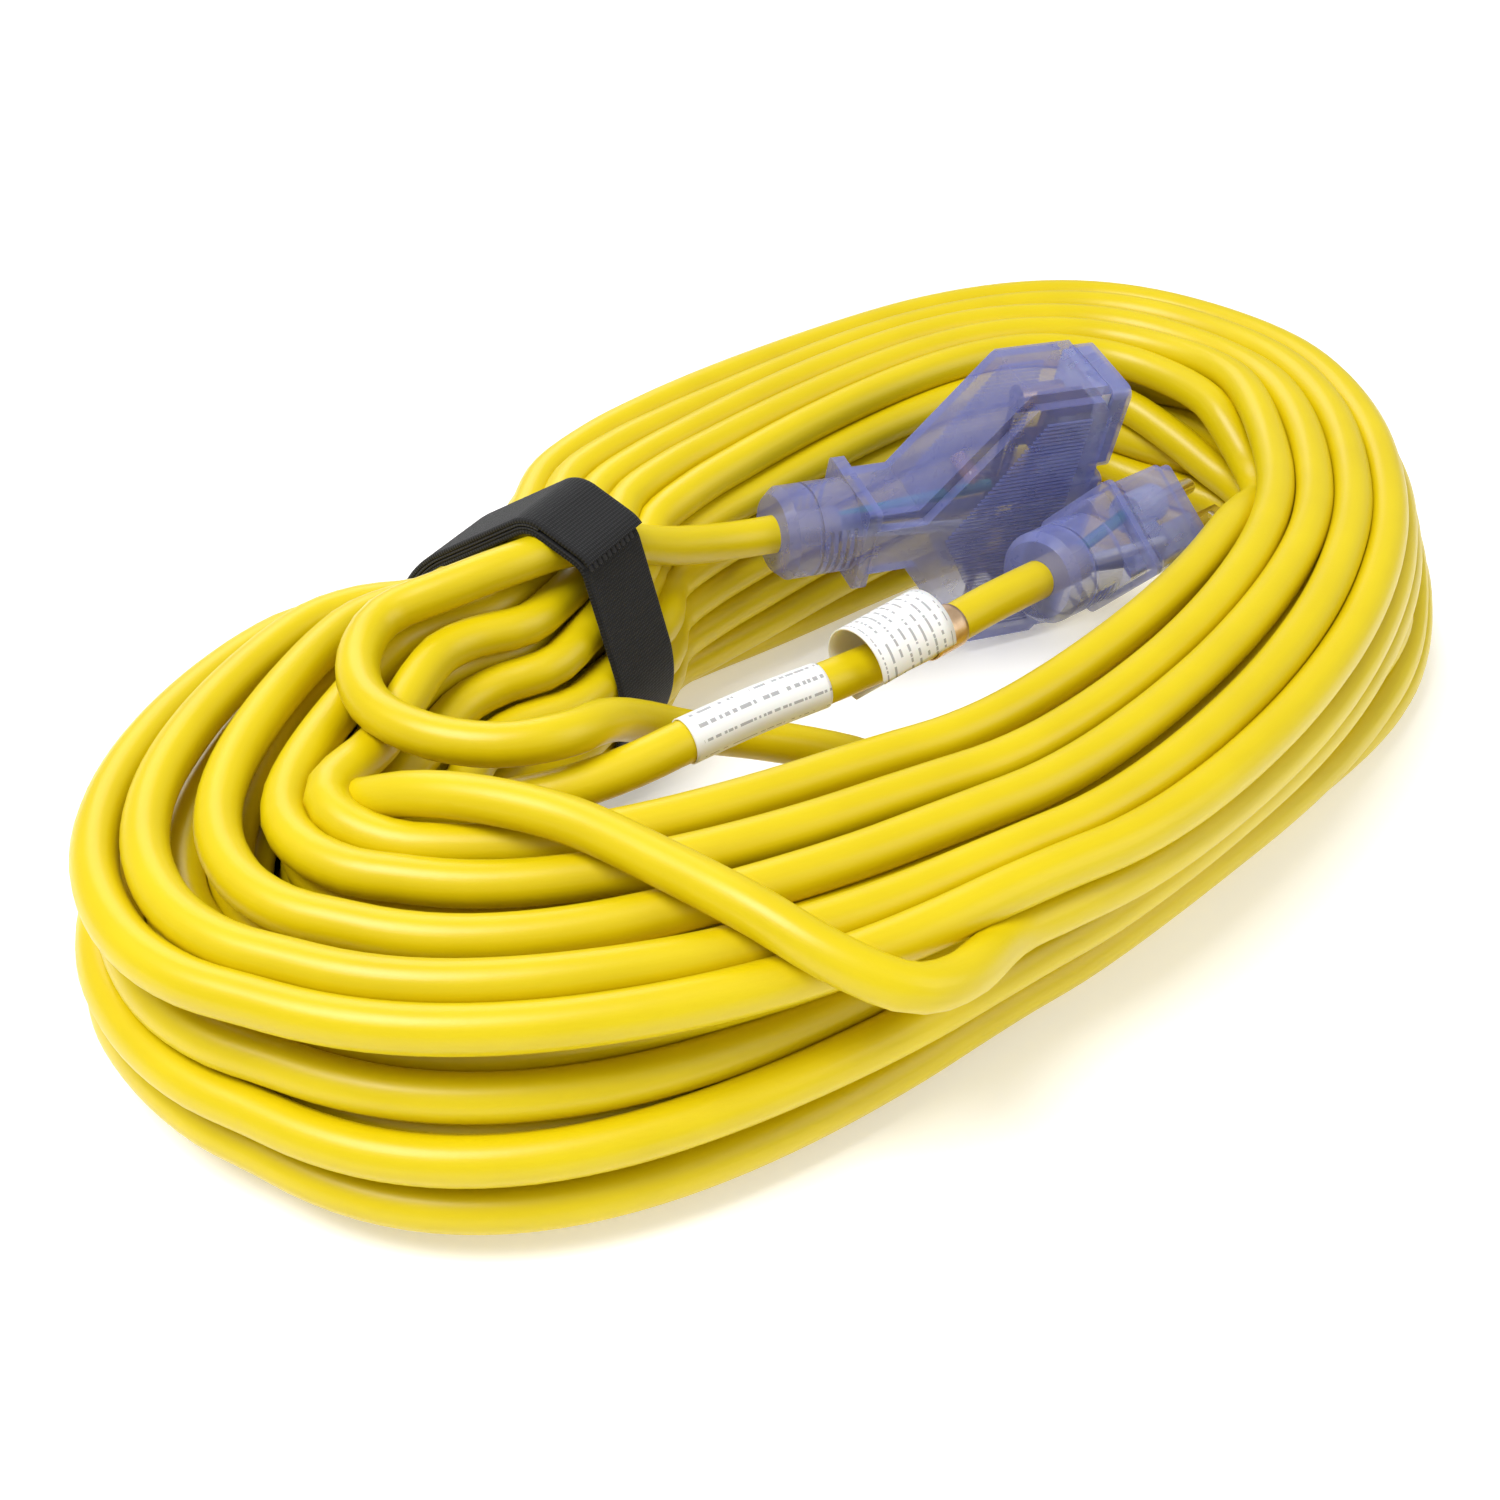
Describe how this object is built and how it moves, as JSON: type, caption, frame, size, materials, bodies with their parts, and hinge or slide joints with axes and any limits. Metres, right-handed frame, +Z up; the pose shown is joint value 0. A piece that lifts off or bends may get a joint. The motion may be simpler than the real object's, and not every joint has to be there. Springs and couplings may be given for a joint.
{
  "type": "outdoor extension cord",
  "caption": "Three-core outdoor extension cord coiled in a flat oval, with a moulded grounding plug, a moulded multi-outlet connector and a hook-and-loop storage strap.",
  "frame": {"origin": "middle of the coil's bounding box in plan, on the ground it rests on", "axes": "+X along the long axis of the oval coil, +Y towards the strapped run, +Z up"},
  "size_m": [0.4181, 0.2281, 0.0948],
  "materials": {
    "jacket": "satin extruded",
    "clear_blue": "translucent moulded",
    "inner_mould": "moulded",
    "outlet_insert": "moulded",
    "nickel": "nickel plated",
    "contact_brass": "stamped",
    "core_black": "extruded",
    "core_white": "extruded",
    "core_green": "extruded",
    "lamp_glass": "clear",
    "resistor_coat": "lacquered",
    "webbing": "woven",
    "hook_tape": "hooked",
    "loop_tape": "looped",
    "thread": "sewn",
    "label_white": "printed film",
    "label_curl": "printed film",
    "label_gold": "metallic film"
  },
  "bodies": {
    "cord_set": {"cord_coil": "jacket", "cord_connector_lead": "jacket", "cord_crossing_strand": "jacket", "cord_plug_lead": "jacket", "plug_body": "clear_blue", "plug_inner_mould": "inner_mould", "plug_line_blade": "nickel", "plug_neutral_blade": "nickel", "plug_ground_pin": "nickel", "plug_line_core": "core_black", "plug_neutral_core": "core_white", "plug_ground_core": "core_green", "connector_body": "clear_blue", "outlet_insert_upper": "outlet_insert", "outlet_insert_middle": "outlet_insert", "outlet_insert_lower": "outlet_insert", "line_contacts": "contact_brass", "neutral_contacts": "contact_brass", "ground_contacts": "contact_brass", "connector_line_core": "core_black", "connector_neutral_core": "core_white", "connector_ground_core": "core_green", "power_lamp": "lamp_glass", "lamp_resistor": "resistor_coat", "strap_band": "webbing", "strap_loop_tape": "loop_tape", "strap_stitching": "thread", "warning_label": "label_white", "label_curl": "label_curl", "listing_band": "label_gold"},
    "tie_tab": {"strap_tab": "webbing", "strap_hook_tape": "hook_tape"}
  },
  "joints": [
    {"name": "tab_peel", "type": "hinge", "parent": "cord_set", "child": "tie_tab", "pos_m": [-0.04741, 0.0434, 0.07493], "axis": [0.9659, 0.2588, 0], "range_deg": [0, 60]}
  ]
}
